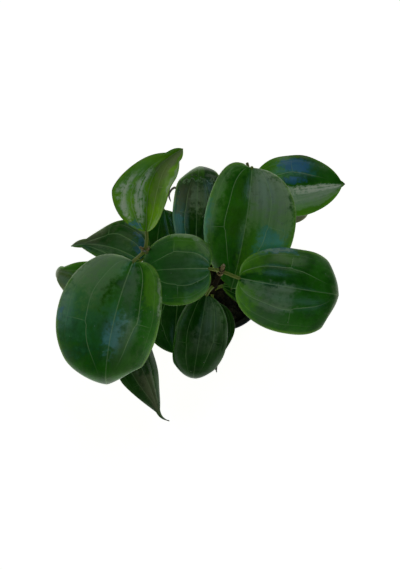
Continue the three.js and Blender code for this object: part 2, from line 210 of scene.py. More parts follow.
def tube(bm, line, radii, sides, lumps=0.0, seed=0, material=0, cut=None):
    # a round skin along a line, with lumps longer than wide, and its end in the material numbered cut
    part = bmesh.new()
    rows = len(line) - 1
    places = gridPlaces(part, rows, sides)
    tangents = np.gradient(line, axis=0)
    tangents /= np.linalg.norm(tangents, axis=1, keepdims=True)
    across = np.cross(tangents[0], (0.3, 0.2, 1.0))
    frames = []
    for tangent in tangents:
        across = across - tangent * np.dot(across, tangent)
        across = across / np.linalg.norm(across)
        frames.append((across, np.cross(tangent, across)))
    for vert, (i, j) in zip(part.verts, places):
        angle = 2 * math.pi * (j % sides) / sides
        a, b = frames[i]
        direction = a * math.cos(angle) + b * math.sin(angle)
        radius = radii[i]
        if lumps:
            spot = Vector(line[i] * 0.35 + direction * 0.6) + Vector((seed, 0, 0))
            radius += lumps * noise.noise(spot) * min(1, radius / 1.5)
        vert.co = Vector((line[i] + direction * radius) * mm)
    bmesh.ops.remove_doubles(part, verts=part.verts, dist=1e-7)
    for face in part.faces:
        face.material_index = material
    tip = Vector(line[-1] * mm)
    ends = bmesh.ops.holes_fill(part, edges=[e for e in part.edges if e.is_boundary], sides=0)["faces"]
    bmesh.ops.recalc_face_normals(part, faces=part.faces)
    for face in ends:
        face.material_index = material
        if cut is not None and (face.calc_center_median() - tip).length < 2 * mm:
            # the dry cut or scar at the end: a raised ring round a sunk middle
            face.material_index = cut
            radius = radii[-1] * mm
            rim = bmesh.ops.inset_individual(part, faces=[face], thickness=radius * 0.35, depth=0.15 * mm)
            for ring in rim["faces"]:
                ring.material_index = material
            bmesh.ops.inset_individual(part, faces=[face], thickness=radius * 0.2, depth=-0.35 * mm)
    mesh = bpy.data.meshes.new("part")
    part.to_mesh(mesh)
    part.free()
    bm.from_mesh(mesh)
    bpy.data.meshes.remove(mesh)


# pot

potSettings = {
    "height": 90, "rimRadius": 50, "baseRadius": 36, "wall": 1.6,
    "lip": 1.2, "rimBand": 12, "rimStep": 4,  # what the rim's lip sticks out, the rim's height, its step
    "foot": 2,  # how far the base is raised inside its foot ring
    "holes": 6, "holeRadius": 4, "holeRing": 22, "holeSides": 24,
    "segments": 96, "softEdge": 0.35, "softAngle": 35, "sharpAngle": 50,
}


def potMaterial():
    # Black moulded polypropylene: satin, with a fine grain and a thin film of dust in soft patches. The grain
    # is coarser than the real one, so that it shows.
    material, add = newMaterial("black_pot_plastic")
    place = add("TexCoord")["Object"]
    patch = add("TexNoise", {"Vector": place, "Scale": 1 / (14 * mm), "Detail": 5, "Roughness": 0.55})[0]
    grain = add("TexNoise", {"Vector": place, "Scale": 1 / (0.5 * mm), "Detail": 2, "Roughness": 0.55})[0]
    dust = add("MapRange", (patch, 0.45, 0.75), **smooth)[0]
    share = add("Math", (dust, 0.22), **times)[0]
    colour = add("MixRGB", (share, srgb("#1b1d22"), srgb("#5f5f62")))[0]
    rough = add("Math", (dust, 0.25, 0.36), **timesPlus)[0]
    finishMaterial(add, colour, rough, add("Math", (grain, 0.05), **times)[0])
    return material


def makePot():
    s = potSettings
    rim, base, foot, wall, top = (s[key] for key in ("rimRadius", "baseRadius", "foot", "wall", "height"))
    band = rim - s["lip"]
    wallTop = band - s["rimStep"]
    low = top - s["rimBand"]
    # radius and height, from the middle of the underside round the rim to the middle of the inner floor. The
    # middle is a hair off the axis, and closes when the doubles go.
    outline = [
        (0.01, 0), (12, 0), (13, foot), (base - 4, foot), (base - 3, 0), (base - 0.8, 0), (base, 1),
        (wallTop, low - 1), (band - 0.6, low + 0.4), (band, top - 3), (rim, top - 2.4), (rim, top - 0.6),
        (rim - 0.6, top), (band - wall, top), (band - wall - 0.6, low + 1.6), (wallTop - wall, low + 0.2),
        (base - wall, foot + wall + 1), (base - wall - 1, foot + wall), (0.01, foot + wall),
    ]
    bm = bmesh.new()
    verts = [bm.verts.new((r * mm, 0, z * mm)) for r, z in outline]
    edges = [bm.edges.new((a, b)) for a, b in zip(verts, verts[1:])]
    bmesh.ops.spin(bm, geom=verts + edges, cent=(0, 0, 0), axis=(0, 0, 1), angle=2 * math.pi,
                   steps=s["segments"], use_merge=True)
    bmesh.ops.remove_doubles(bm, verts=bm.verts, dist=2e-5)
    bmesh.ops.recalc_face_normals(bm, faces=bm.faces)
    sharp = [edge for edge in bm.edges if edge.calc_face_angle(0) > math.radians(s["softAngle"])]
    bmesh.ops.bevel(bm, geom=sharp, offset=s["softEdge"] * mm, offset_type="OFFSET", segments=2,
                    profile=0.5, affect="EDGES", material=-1, clamp_overlap=True)
    pot = meshObject("nursery_pot", bm, [potMaterial()])
    cutter = bmesh.new()
    # half a side's turn keeps the corners of the holes off the spokes of the base
    halfSide = Matrix.Rotation(math.pi / s["holeSides"], 4, "Z")
    ring = s["holeRing"] * mm
    radius = s["holeRadius"] * mm
    for i in range(s["holes"]):
        angle = 2 * math.pi * (i + 0.5) / s["holes"]
        spot = Matrix.Translation((ring * math.cos(angle), ring * math.sin(angle), foot * mm)) @ halfSide
        bmesh.ops.create_cone(cutter, cap_ends=True, segments=s["holeSides"], radius1=radius, radius2=radius,
                              depth=8 * mm, matrix=spot)
    holes = meshObject("hole_cutter", cutter, [])
    cut = pot.modifiers.new("drain_holes", "BOOLEAN")
    cut.object = holes
    cut.solver = "EXACT"
    whole = pot.data
    graph = bpy.context.evaluated_depsgraph_get()
    drilled = bpy.data.meshes.new_from_object(pot.evaluated_get(graph))
    pot.modifiers.clear()
    pot.data = drilled
    drilled.name = pot.name
    bpy.data.meshes.remove(whole)
    bpy.data.objects.remove(holes)
    pot.data.set_sharp_from_angle(angle=math.radians(s["sharpAngle"]))
    return pot


# soil

soilSettings = {
    "top": 74, "radius": 42.2, "bump": 1.6,
    "chips": 620, "chipSize": (2.2, 4.4), "grit": 70, "gritSize": (0.6, 1.1),
    "stemClear": 5, "wallClear": 1.5,  # no chip's middle lies nearer to a stem's foot, or to the wall
    "seed": 11,
    "chipTones": ["#2a1e18", "#3a2a20", "#4a372b", "#241a16", "#5a4537", "#33261f"],
    "gritTones": ["#b9b1a6", "#9d968c"],
}


def soilHeight(x, y):
    # low waves that level out at the wall of the pot
    s = soilSettings
    fade = 1 - min(1, math.hypot(x, y) / s["radius"]) ** 4
    return s["top"] + s["bump"] * fade * math.sin(x * 0.31 + 1) * math.cos(y * 0.27 + 2)


def soilMaterial():
    # Moist peat, sieved and pressed down: a near black brown, crumbly and matt.
    material, add = newMaterial("peat_mix")
    place = add("TexCoord")["Object"]
    clod = add("TexNoise", {"Vector": place, "Scale": 1 / (3 * mm), "Detail": 6, "Roughness": 0.7})[0]
    crumb = add("TexNoise", {"Vector": place, "Scale": 1 / (0.9 * mm), "Detail": 3, "Roughness": 0.55})[0]
    share = add("MapRange", (clod, 0.35, 0.65), **smooth)[0]
    colour = add("MixRGB", (share, srgb("#120d0b"), srgb("#30251f")))[0]
    height = add("Math", (clod, 1.6, add("Math", (crumb, 0.5), **times)[0]), **timesPlus)[0]
    finishMaterial(add, colour, 0.95, height)
    return material


def barkMaterial():
    # Broken pine bark: matt, each chip its own brown, from the tone stored with it, with darker grain.
    material, add = newMaterial("bark_chips")
    place = add("TexCoord")["Object"]
    tone = add("Attribute", attribute_name="tone")["Color"]
    grain = add("TexNoise", {"Vector": place, "Scale": 1 / (1.2 * mm), "Detail": 5, "Roughness": 0.7})[0]
    deep = add("MixRGB", (0.65, tone, srgb("#120d0b")))[0]
    share = add("MapRange", (grain, 0.3, 0.75, 0.2, 1), **smooth)[0]
    colour = add("MixRGB", (share, deep, tone))[0]
    finishMaterial(add, colour, 0.88, add("Math", (grain, 0.7), **times)[0])
    return material


def makeChips():
    s = soilSettings
    rng = random.Random(s["seed"])
    bm = bmesh.new()
    one = bpy.data.meshes.new("one_chip")
    tones = []
    feet = [stem["line"][1] for stem in stems.values()]
    while len(tones) < s["chips"] + s["grit"]:
        radius = (s["radius"] - s["wallClear"]) * math.sqrt(rng.random())
        angle = rng.uniform(0, 2 * math.pi)
        x, y = radius * math.cos(angle), radius * math.sin(angle)
        if any(math.hypot(x - foot[0], y - foot[1]) < s["stemClear"] for foot in feet):
            continue
        gritty = len(tones) >= s["chips"]
        size = rng.uniform(*s["gritSize" if gritty else "chipSize"])
        size = min(size, (s["radius"] + 0.5 - radius) / 1.2)  # small enough to stay inside the wall
        tones.append(rng.choice(s["gritTones"] if gritty else s["chipTones"]))
        chip = bmesh.new()
        bmesh.ops.create_cube(chip, size=1.5)
        bmesh.ops.subdivide_edges(chip, edges=chip.edges, cuts=1, use_grid_fill=True, smooth=0.6)
        offset = Vector((rng.uniform(0, 90), 0, 0))
        for vert in chip.verts:
            vert.co *= 1 + 0.5 * noise.noise(vert.co * 1.1 + offset)
        flat = 1 if gritty else rng.uniform(0.3, 0.65)
        # tilted and turned by radians, and raised by a fifth of its size
        tilt = Matrix.Rotation(rng.uniform(-0.6, 0.6), 4, "X")
        tilt = tilt @ Matrix.Rotation(rng.uniform(-0.6, 0.6), 4, "Y")
        place = Matrix.Translation((x * mm, y * mm, (soilHeight(x, y) + size * 0.2) * mm))
        shape = Matrix.Diagonal((size * mm, size * rng.uniform(0.5, 0.9) * mm, size * flat * mm, 1))
        turn = Matrix.Rotation(rng.uniform(0, 6.3), 4, "Z")
        bmesh.ops.transform(chip, matrix=place @ turn @ tilt @ shape, verts=chip.verts)
        chip.to_mesh(one)
        chip.free()
        bm.from_mesh(one)
    bpy.data.meshes.remove(one)
    bmesh.ops.recalc_face_normals(bm, faces=bm.faces)
    chips = meshObject("bark_chips", bm, [barkMaterial()], rounded=False)
    layer = chips.data.attributes.new("tone", "FLOAT_COLOR", "POINT")
    each = len(chips.data.vertices) // len(tones)
    layer.data.foreach_set("color", np.repeat([srgb(tone) for tone in tones], each, axis=0).ravel())
    return chips


# stems

# line: the points that a stem runs through, from inside the soil to its end. nodes: the middles of its
# swollen joints. stubs: what is left of old stalks on it, each with its start, end and radius.
stems = {
    "stem_middle": {
        "line": [(-11, -11, 58), (-11, -11, 72), (-9, -9, 104), (-8, -10, 142), (-2, -1, 172),
                 (-2, -1, 177)],
        "nodes": [(-9, -9, 104), (-8, -10, 142), (-2, -1, 173)],
        "stubs": [((-3, -3, 169), (-2, -1, 176), 2.9), ((-2, -1, 175), (0, 3, 180), 2)],
    },
    "stem_left": {
        "line": [(-30, 2, 58), (-30, 2, 72), (-44, -1, 106), (-59, 9, 134), (-69, 19, 154), (-72, 22, 168),
                 (-73, 14, 190)],
        "nodes": [(-44, -1, 106), (-69, 19, 154), (-73, 15, 186)],
        "stubs": [((-73, 15, 187), (-77, 17, 193), 1.3), ((-73, 15, 187), (-69, 16, 192), 1.3)],
    },
    "stem_trailing": {
        "line": [(-26, -20, 58), (-26, -20, 72), (-34, -22, 88), (-47, -26, 97), (-66, -31, 96),
                 (-82, -36, 98), (-91, -39, 110), (-94, -40, 134)],
        "nodes": [(-66, -31, 96), (-93, -40, 130)],
        "stubs": [],
    },
    "stem_back": {
        "line": [(4, 22, 58), (4, 22, 72), (14, 48, 98), (20, 74, 116), (24, 86, 132), (28, 100, 154),
                 (28, 101, 158)],
        "nodes": [(20, 74, 116), (24, 86, 132), (28, 100, 154)],
        "stubs": [((28, 101, 156), (25, 112, 160), 1.5)],
    },
    "stem_short": {
        "line": [(-21, 8, 58), (-21, 8, 72), (-24, 11, 96), (-26, 13, 116)],
        "nodes": [(-26, 13, 114)],
        "stubs": [],
    },
}

stemSettings = {
    "radius": 2.4, "nodeRadius": 3.7, "nodeLength": 5, "sides": 20, "step": 1.6, "lumps": 0.45,
    "endTaper": (0.86, 0.62),  # the last two rings of the skin, as shares of the radius
    # the stems that get the old skin, which is darkened as painted shade
    "woody": ("stem_middle", "stem_trailing", "stem_back"),
}

stubSettings = {"sides": 14, "step": 0.7, "lumps": 0.5, "swell": 0.12, "swells": 14, "endTaper": 0.8}

# The dry leafless tip of stem_short, that curls out between two leaves.
shootSettings = {
    "line": [(-25, 12, 98), (-32, 40, 96), (-38, 70, 99), (-44, 100, 110), (-50, 101, 117), (-55, 92, 120),
             (-53, 85, 117)],
    "radii": (3.4, 0.9), "sides": 12, "step": 1.5, "lumps": 0.25, "endTaper": (0.9, 0.75, 0.5, 0.2),
}


def stemMaterial(name, green, brown, share, rough=0.5, shine=0.5):
    # Skin of a hoya's stem or stalk: a green or woody ground with corky streaks along the stem and small dark
    # flecks, from half satin on young growth to matt on old wood.
    material, add = newMaterial(name)
    place = add("TexCoord")["Object"]
    long = add("Mapping", {"Vector": place, "Scale": (1, 1, 0.35)})[0]
    patch = add("TexNoise", {"Vector": long, "Scale": 1 / (5 * mm), "Detail": 5, "Roughness": 0.65})[0]
    fleck = add("TexNoise", {"Vector": place, "Scale": 1 / (0.8 * mm), "Detail": 3, "Roughness": 0.55})[0]
    cork = add("MapRange", (patch, 0.62 - share, 0.78 - share), **smooth)[0]
    colour = add("MixRGB", (cork, srgb(green), srgb(brown)))[0]
    flecked = add("MapRange", (fleck, 0.6, 0.7, 0, 0.5), **smooth)[0]
    colour = add("MixRGB", (flecked, colour, srgb("#3a2c1c")))[0]
    height = add("Math", (cork, 0.15, add("Math", (fleck, 0.12), **times)[0]), **timesPlus)[0]
    finishMaterial(add, colour, rough, height, Specular_IOR_Level=shine)
    return material


def makeStub(bm, start, end, radius):
    s = stubSettings
    middle = (np.array(start) + np.array(end)) / 2 + 0.3  # a touch off the straight line
    line = smoothLine([start, middle, end], s["step"])
    radii = radius * (0.95 + s["swell"] * np.sin(np.linspace(0, s["swells"], len(line))))
    radii[-1] *= s["endTaper"]
    tube(bm, line, radii, s["sides"], lumps=s["lumps"], seed=radius * 9, material=1, cut=2)


def makeShoot(bm):
    s = shootSettings
    line = smoothLine(s["line"], s["step"])
    radii = np.linspace(*s["radii"], len(line))
    radii[-4:] *= s["endTaper"]
    tube(bm, line, radii, s["sides"], lumps=s["lumps"], seed=3, material=3)


def makeStems():
    # material 0 is the stem's skin, 1 the stubs', 2 the pale cut ends', 3 the shoot's
    s = stemSettings
    young = stemMaterial("stem_skin", "#67762a", "#4f3f26", 0.08)
    # old woody skin, darkened near to black: its own dark brown and painted shade where these stems stand
    # under the leaves
    old = stemMaterial("old_stem_skin_and_shade", "#221c0f", "#15110a", 0.12, rough=0.9, shine=0.05)
    stubSkin = stemMaterial("dry_stub", "#8c7a4a", "#5c4630", 0.08, shine=0.2)
    shootSkin = stemMaterial("dry_shoot", "#6a6452", "#3a3226", 0.06)
    cutSkin = stemMaterial("pale_cut", "#b5a283", "#8f7850", 0.02)
    for name, stem in stems.items():
        bm = bmesh.new()
        line = smoothLine(stem["line"], s["step"])
        nodes = np.array(stem["nodes"], float)
        near = np.min(np.linalg.norm(line[:, None, :] - nodes[None], axis=2), axis=1)
        radii = s["radius"] + (s["nodeRadius"] - s["radius"]) * (1 - smooth01(near / s["nodeLength"]))
        radii[-2:] *= s["endTaper"]
        tube(bm, line, radii, s["sides"], lumps=s["lumps"], seed=len(name), cut=2)
        for stub in stem["stubs"]:
            makeStub(bm, *stub)
        slots = [old if name in s["woody"] else young, stubSkin, cutSkin]
        if name == "stem_short":
            slots.append(shootSkin)
            makeShoot(bm)
        piece = meshObject(name + "_skin", bm, slots)
        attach(piece, "root")
        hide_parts(name)


# leaves

# Place: base is where the blade starts, and the stalk runs from the stem via a point beside it to the base.
# Shape: heading, swerve, rise, droop, roll, dome, fold and hook bend the blade as they bend its solid.
# widest, baseFull, tipFull and tipSharp shape its outline, and uneven makes one half wider. lobe bends the
# base's two sides back, nib is the length of the point and nibBlunt how blunt it is, and notch draws the end
# back at the midrib. wave ripples the edge. A pair is for the left and the right half.
# Looks: dark and light are the two greens, vein the nerves' colour, rim that of the thin edge, dryTip the
# length of the dry brown point, and shine how strongly the wax mirrors. An overlay is a patch of colour on
# the leaf: dust, rubbed marks and brown tint, partly painted sheen and glints, and painted highlights and sky
# reflections. Its columns: kind, from and to along it (0 base, 1 tip), from and to across it (-1 left edge, 1
# right edge), softness, share.
leafDefaults = {
    "swerve": 0, "rise": 10, "droop": 30, "roll": 0, "dome": 25, "fold": 0,
    "hook": 0, "hookTurn": 0, "hookRoll": 0, "hookFrom": 0.8,
    "widest": 0.42, "baseFull": 2.2, "tipFull": 2.2, "tipSharp": 0.62, "uneven": 0, "unevenTip": 0,
    "lobe": 0, "lobeSide": 0, "nib": 4, "nibWidth": 5, "nibBlunt": 1.5, "notch": 0, "notchWidth": 7,
    "wave": 0.8, "waves": 3.0,
    "dark": "#175606", "light": "#348412", "vein": "#b4d890", "veinShare": 0.9, "rim": "#8fc836",
    "dryTip": 2.5, "shine": 0.32, "overlays": [], "slot": "leaf",
}

# the colour of each overlay, and how much rougher it makes the leaf
overlayKinds = {
    "dust": ("#c8dcae", 0.22),  # pale dust, which laid thick also stands for a painted pale sheen
    "bloom": ("#58b6b4", 0.0),  # painted blue green reflection of the sky on the wax
    "brown": ("#8d8668", 0.1),  # brown grey tint of drying skin, and a painted brown sheen
    "bright": ("#7cc426", 0.0),  # a lighter yellow green
    "wax": ("#cfe0bc", 0.0),  # painted highlight where the wax catches the light
    "scuff_and_glint": ("#fbffdc", 0.15),  # rubbed marks, painted pale as glints
    "sky": ("#4c8cc4", 0.0),  # skylight on the wax
}

# darker greens for the low leaves: painted shade where they stand under the others
shadedLook = {"dark": "#124804", "light": "#23640a", "veinShare": 0.5}

leaves = {
    "leaf_big_front_left": {
        "base": (-82, 3, 197), "length": 124, "width": 101, "heading": 249, "swerve": 17, "rise": 6,
        "droop": 32, "roll": -9, "widest": 0.46, "tipFull": (2.2, 1.9), "tipSharp": (0.48, 0.56),
        "dome": 38, "hook": 50, "hookFrom": 0.78, "lobe": 8, "lobeSide": -0.35, "uneven": 0.12, "nib": 1,
        "from": (-73, 15, 186), "via": (-77, 9, 193),
        "overlays": [
            ("wax", 0, 0.3, 0.25, 0.97, 0.12, 0.4),
            ("wax", 0.15, 0.5, 0.78, 0.95, 0.1, 0.2),
            ("wax", 0.1, 0.34, -0.97, -0.9, 0.03, 0.4),
            ("wax", 0.05, 0.32, -0.3, 0.02, 0.1, 0.22),
            ("bright", 0.1, 0.5, 0.1, 0.9, 0.2, 0.4),
            ("bright", 0.02, 0.3, -0.9, -0.5, 0.08, 0.5),
            ("bloom", 0.3, 0.62, 0.1, 0.9, 0.2, 0.15),
            ("bloom", 0.46, 0.64, -0.22, 0.08, 0.08, 0.6),
            ("sky", 0.46, 0.54, 0.9, 1, 0.03, 0.3),
            ("dust", 0.42, 0.65, -0.45, 0, 0.12, 0.25),
            ("brown", 0.66, 0.95, -0.7, -0.05, 0.1, 0.12),
        ],
    },
    "leaf_young_back_left": {
        "base": (-71, 31, 196), "length": 87, "width": 65, "heading": 87, "swerve": -6, "rise": 28,
        "droop": 14, "uneven": -0.1, "unevenTip": 0.26, "roll": -18, "baseFull": 1.6, "tipFull": (1.2, 2.3),
        "tipSharp": (1, 0.5), "dome": 8, "fold": 40, "hook": 10, "hookTurn": -52, "hookRoll": 24,
        "hookFrom": 0.25, "nib": 7, "nibWidth": (12, 24), "nibBlunt": 4,
        "from": (-73, 15, 188), "via": (-70, 22, 194), "slot": "young_leaf",
        "dark": "#5a9a02", "light": "#92d004", "vein": "#c9de90", "rim": "#a4d23c", "dryTip": 1,
        "shine": 0.22,
        "overlays": [
            ("bright", 0.1, 0.95, -0.95, -0.5, 0.15, 0.4),
            ("scuff_and_glint", 0.14, 0.48, -0.84, -0.56, 0.08, 0.8),
            ("scuff_and_glint", 0.1, 0.6, -0.38, -0.12, 0.08, 0.8),
            ("brown", 0.6, 1, -0.1, 0.6, 0.1, 0.6),
            ("brown", 0.3, 0.6, 0.15, 0.6, 0.12, 0.35),
            ("wax", 0.45, 0.9, 0.86, 0.97, 0.04, 0.5),
            ("sky", 0.01, 0.07, -1, -0.35, 0.03, 0.65),
        ],
    },
    "leaf_far_left": {
        "base": (-80, 11, 163), "length": 75, "width": 50, "heading": 147, "swerve": 39, "rise": 8,
        "droop": 34, "widest": (0.38, 0.43), "tipFull": 1.3, "tipSharp": (0.75, 1.3), "dome": 20,
        "uneven": 0.3, "lobe": 5, "nib": 9, "nibWidth": 9, "nibBlunt": 4,
        "from": (-69, 19, 154), "via": (-75, 14, 160),
        "dark": "#145006", "light": "#2d7610", "dryTip": 1,
        "overlays": [
            ("sky", 0.04, 0.16, 0.25, 0.75, 0.06, 0.6),
            ("dust", 0.15, 0.4, 0, 0.55, 0.08, 0.22),
            ("dust", 0.2, 0.65, -0.9, 0, 0.12, 0.25),
            ("brown", 0.5, 1, -0.1, 1, 0.15, 0.45),
        ],
    },
    "leaf_low_left": {
        "base": (-98, -24, 136), "length": 89, "width": 54, "heading": 148, "swerve": 16, "rise": 4,
        "droop": 28, "tipFull": (1.8, 1.4), "tipSharp": (0.66, 1), "dome": 22, "nib": 5, "nibWidth": 13,
        "nibBlunt": 4, "hook": 50, "wave": 1.4, "from": (-93, -40, 131), "via": (-94, -32, 135),
        "veinShare": 0.5, "dryTip": 1,
        "overlays": [
            ("bright", 0.5, 1, -1, 1, 0.2, 0.3),
            ("brown", 0.3, 1, -1, 0.2, 0.2, 0.3),
            ("brown", 0.75, 1, -1, 0.4, 0.1, 0.35),
        ],
    },
    "leaf_hanging_front": {
        "base": (-104, -52, 124), "length": 122, "width": 50, "heading": 305, "swerve": -26, "rise": -12,
        "droop": 30, "roll": -24, "widest": (0.3, 0.45), "tipFull": (1.3, 1.5), "tipSharp": (0.98, 1.05),
        "dome": 36, "nib": 16, "nibWidth": 8, "hookTurn": 60,
        "from": (-93, -40, 129), "via": (-100, -47, 129),
        "dark": "#103e04", "light": "#20560a", "veinShare": 0.25, "rim": "#3f6a1a", "dryTip": 6,
        "shine": 0.2,
        "overlays": [("brown", 0.35, 0.85, -0.3, 0.4, 0.2, 0.38)],
    },
    "leaf_round_middle": {
        "base": (-13, 0, 178), "length": 68, "width": 72, "heading": 179, "swerve": 4, "rise": 2,
        "droop": 22, "widest": 0.45, "tipFull": 2.6, "tipSharp": (0.62, 0.56), "dome": 24, "uneven": 0.06,
        "unevenTip": -0.06, "nib": 1, "lobe": 5, "lobeSide": 0.2,
        "from": (-2, -1, 174), "via": (-8, -1, 177),
        "dark": "#26661a", "light": "#3d822e",
        "overlays": [
            ("dust", 0.1, 0.6, -0.5, 0.6, 0.2, 0.12),
            ("bright", 0.05, 0.5, 0.5, 1, 0.12, 0.35),
            ("wax", 0.16, 0.5, 0.84, 0.96, 0.05, 0.4),
            ("wax", 0.1, 0.4, -0.97, -0.88, 0.04, 0.25),
            ("bright", 0.05, 0.5, -1, -0.7, 0.1, 0.35),
        ],
    },
    "leaf_right": {
        "base": (14.5, -9, 178), "length": 104, "width": 86, "heading": 346, "swerve": 11, "rise": 12,
        "droop": 34, "roll": 6, "widest": 0.5, "tipFull": (4, 3), "tipSharp": (0.7, 0.66), "dome": 34,
        "hook": 50, "hookFrom": 0.82, "nib": 1, "notch": 5, "lobe": 5, "uneven": 0.05,
        "from": (-2, -1, 173), "via": (6, -5, 174.5),
        "overlays": [
            ("dust", 0.04, 0.52, 0.02, 0.55, 0.06, 0.35),
            ("dust", 0.3, 0.5, -0.08, 0.1, 0.06, 0.4),
            ("wax", 0.1, 0.5, 0.5, 0.9, 0.12, 0.1),
            ("sky", 0.14, 0.46, -1, -0.86, 0.05, 0.45),
            ("wax", 0.16, 0.42, -0.98, -0.91, 0.03, 0.4),
            ("bright", 0, 0.16, 0.2, 1, 0.08, 0.6),
            ("bright", 0, 0.14, -1, -0.3, 0.08, 0.5),
            ("bright", 0.14, 0.5, -0.97, -0.55, 0.12, 0.25),
            ("brown", 0.88, 1, -1, 1, 0.06, 0.3),
        ],
    },
    "leaf_front": {
        "base": (-15.5, -20.5, 150), "length": 101, "width": 59, "heading": 260, "swerve": 1, "rise": 0,
        "droop": 46, "widest": 0.5, "tipFull": (2.2, 3), "tipSharp": (0.85, 0.5), "uneven": -0.05,
        "dome": 46, "nib": 1, "hook": 60, "hookFrom": 0.76,
        "from": (-8, -10, 143), "via": (-13, -15, 150),
        # darker greens: painted shade from the leaves above
        "dark": "#0d3c02", "light": "#1c5806", "veinShare": 0.35, "rim": "#3e7a14", "shine": 0.16,
        "overlays": [
            ("dust", 0.03, 0.3, -0.75, 0, 0.1, 0.25),
            ("dust", 0.35, 0.55, -0.6, 0.3, 0.12, 0.15),
        ],
    },
    "leaf_low_front": {
        "base": (-9, -19, 100.5), "length": 76, "width": 52, "heading": 265, "swerve": 17, "rise": 6,
        "droop": 20, "tipFull": (1.8, 2.2), "tipSharp": (1, 0.6), "dome": 24,
        "nib": 9, "nibWidth": 14, "nibBlunt": 1.2,
        "from": (-9, -9, 104), "via": (-9, -14, 102),
        # darker greens: painted shade from the leaves above
        "dark": "#0a3202", "light": "#164506", "veinShare": 0.5, "rim": "#3a6a16", "dryTip": 8,
        "shine": 0.2,
    },
    "leaf_small_right": {
        "base": (1, -5, 112), "length": 68, "width": 34, "heading": 350, "rise": 10, "droop": 22,
        "baseFull": 1.4, "dome": 20, "from": (-9, -9, 104), "via": (-4, -6, 110), **shadedLook,
    },
    "leaf_low_front_left": {
        "base": (-44, -12, 112), "length": 68, "width": 67, "heading": 262, "swerve": 10, "rise": 6,
        "droop": 26, "dome": 22, "from": (-44, -1, 106), "via": (-44, -6, 111), **shadedLook,
    },
    "leaf_low_back_left": {
        "base": (-46, 9, 109), "length": 74, "width": 60, "heading": 102, "uneven": -0.15, "rise": 18,
        "droop": 26, "dome": 20, "from": (-44, -1, 106), "via": (-45, 4, 109), **shadedLook,
    },
    "leaf_back_middle": {
        "base": (-26, 22, 124), "length": 106, "width": 58, "heading": 90, "swerve": -4, "rise": 22,
        "droop": 30, "roll": -12, "widest": 0.5, "tipSharp": 0.5, "dome": 30, "nib": 1, "hook": 50,
        "hookFrom": 0.75, "from": (-26, 13, 114), "via": (-26, 17, 121),
        "dark": "#0d3c04", "light": "#1d5608", "veinShare": 0.5,
        "overlays": [
            ("bloom", 0.12, 0.5, -1, -0.5, 0.15, 0.3),
            ("brown", 0.45, 0.74, -0.8, 1, 0.1, 0.3),
            ("dust", 0.5, 0.7, -0.25, 0.45, 0.1, 0.35),
            ("wax", 0.765, 0.785, -0.7, 0.8, 0.012, 0.3),
            ("bright", 0.8, 1, -0.9, 0.3, 0.06, 0.3),
        ],
    },
    "leaf_big_back": {
        "base": (29, 102.5, 170), "length": 126, "width": 94, "heading": 266, "swerve": -12, "rise": 6,
        "droop": 44, "roll": 8, "widest": 0.45, "dome": 36, "fold": 6, "uneven": -0.05, "nib": 3,
        "lobe": 8, "lobeSide": 0.9, "from": (28, 100, 155), "via": (29, 107, 164),
        "overlays": [
            ("bright", 0.03, 0.7, 0.6, 0.97, 0.2, 0.25),
            ("wax", 0.05, 0.45, 0.7, 0.95, 0.12, 0.16),
            ("dust", 0.02, 0.5, -0.94, -0.03, 0.1, 0.5),
            ("bright", 0.05, 0.6, -0.1, 0.4, 0.1, 0.2),
            ("wax", 0.04, 0.34, -0.85, -0.1, 0.12, 0.26),
            ("bright", 0.3, 0.8, -1, -0.05, 0.12, 0.35),
            ("bloom", 0.5, 0.68, -0.85, -0.25, 0.08, 0.5),
            ("bloom", 0.35, 0.6, 0.84, 1, 0.06, 0.3),
        ],
    },
    "leaf_back_right": {
        "base": (33, 88, 134), "length": 97, "width": 67, "heading": 10, "swerve": -7, "rise": 8,
        "droop": 16, "dome": 16, "fold": 8, "tipSharp": (0.72, 0.7), "uneven": -0.06, "nib": 3,
        "nibWidth": 8, "nibBlunt": 3, "from": (24, 86, 132), "via": (28, 87, 133),
        "overlays": [
            ("bright", 0, 0.42, -1, -0.3, 0.1, 0.65),
            ("bloom", 0.34, 0.68, -0.88, -0.36, 0.12, 0.3),
            ("sky", 0.36, 0.58, -0.86, -0.5, 0.06, 0.7),
            ("sky", 0.4, 0.52, -0.28, -0.1, 0.05, 0.75),
            ("bright", 0.1, 1, 0, 1, 0.1, 0.5),
            ("dust", 0.3, 0.92, 0.02, 0.8, 0.05, 0.9),
            ("scuff_and_glint", 0.36, 0.92, 0.02, 0.3, 0.05, 1),
            ("bright", 0.3, 1, 0.6, 1, 0.1, 0.5),
        ],
    },
    "leaf_low_back_right": {
        "base": (30, 80, 117), "length": 70, "width": 34, "heading": 357, "rise": 6, "droop": 24,
        "dome": 24, "tipFull": 2.6, "nib": 2, "hook": 50, "from": (20, 74, 116), "via": (25, 75, 117),
        "overlays": [("brown", 0, 1, -1, 1, 0.1, 0.9)],
    },
}

bladeSettings = {
    "thickness": 1.4, "edge": 0.45,  # the edge is this share of the thickness
    "rows": 96, "columns": 64,
    "puff": 0.4,  # how far the skin swells between the nerves
    "midribDepth": 0.4, "nerveDepths": {"inner": 0.22, "branch": 0.12, "outer": 0.1}, "grooveWidth": 1.3,
}

stalkSettings = {
    "radius": 1.6, "sides": 16, "steps": 16, "lumps": 0.15,
    # the stalk tapers off under the midrib: shares of the blade's length and of the radius
    "taper": [(0.03, 0.9), (0.07, 0.75), (0.13, 0.62), (0.2, 0.5), (0.3, 0.42), (0.42, 0.35)],
}


# In what follows u runs along the leaf from 0 to 1, and s across it from -1 at the left edge to 1.

def ofSide(leaf, key, s):
    # a setting of the left or right half, where it is a pair
    return np.broadcast_to(leaf[key], 2)[(s > 0) * 1]


